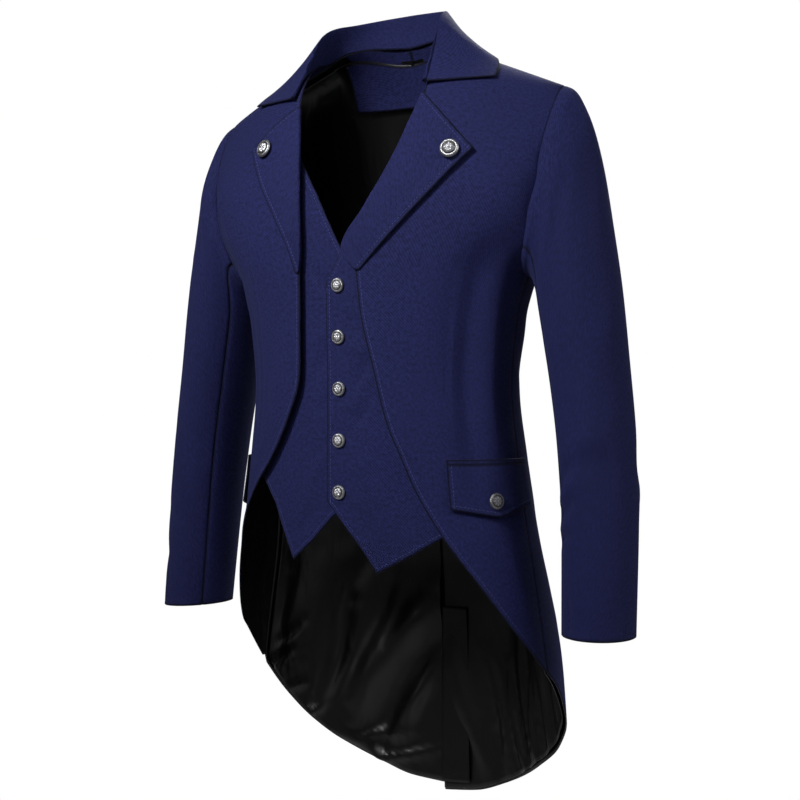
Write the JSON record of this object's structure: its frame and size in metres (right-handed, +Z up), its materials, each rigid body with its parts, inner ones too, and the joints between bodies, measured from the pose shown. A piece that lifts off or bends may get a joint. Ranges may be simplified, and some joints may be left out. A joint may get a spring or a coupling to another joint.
{
  "type": "frock coat with swallow tails and sewn-in waistcoat front",
  "caption": "Tailcoat-cut frock coat with notched lapels, long sleeves, flap pockets and a pointed false waistcoat, filled out as worn.",
  "frame": {"origin": "middle of the neck base at the height of the neck ends of the shoulder seams, where the wearer's shoulders hold the coat", "axes": "+Z up, -Y the way the coat faces, +X the wearer's left"},
  "size_m": [0.5972, 0.2598, 0.935],
  "materials": {
    "wool_twill": "matt navy twill",
    "satin_lining": "black satin lining",
    "cast_buttons": "antiqued silver-coloured casting"
  },
  "bodies": {
    "root": {"front_left": "wool_twill", "back_left": "wool_twill", "front_right": "wool_twill", "back_right": "wool_twill", "vent_underlap": "wool_twill", "neck_facing": "wool_twill", "sleeve_top_left": "wool_twill", "sleeve_under_left": "wool_twill", "sleeve_top_right": "wool_twill", "sleeve_under_right": "wool_twill", "collar": "wool_twill", "lapel_left": "wool_twill", "lapel_right": "wool_twill", "waistcoat_left": "wool_twill", "waistcoat_right": "wool_twill", "pocket_flap_left": "wool_twill", "pocket_welt_left": "wool_twill", "pocket_flap_right": "wool_twill", "pocket_welt_right": "wool_twill", "lining_back_left": "satin_lining", "lining_back_right": "satin_lining", "waistcoat_button_1": "cast_buttons", "waistcoat_button_2": "cast_buttons", "waistcoat_button_3": "cast_buttons", "waistcoat_button_4": "cast_buttons", "waistcoat_button_5": "cast_buttons", "lapel_button_left": "cast_buttons", "lapel_button_right": "cast_buttons", "flap_button_left": "cast_buttons", "flap_button_right": "cast_buttons"}
  },
  "joints": []
}
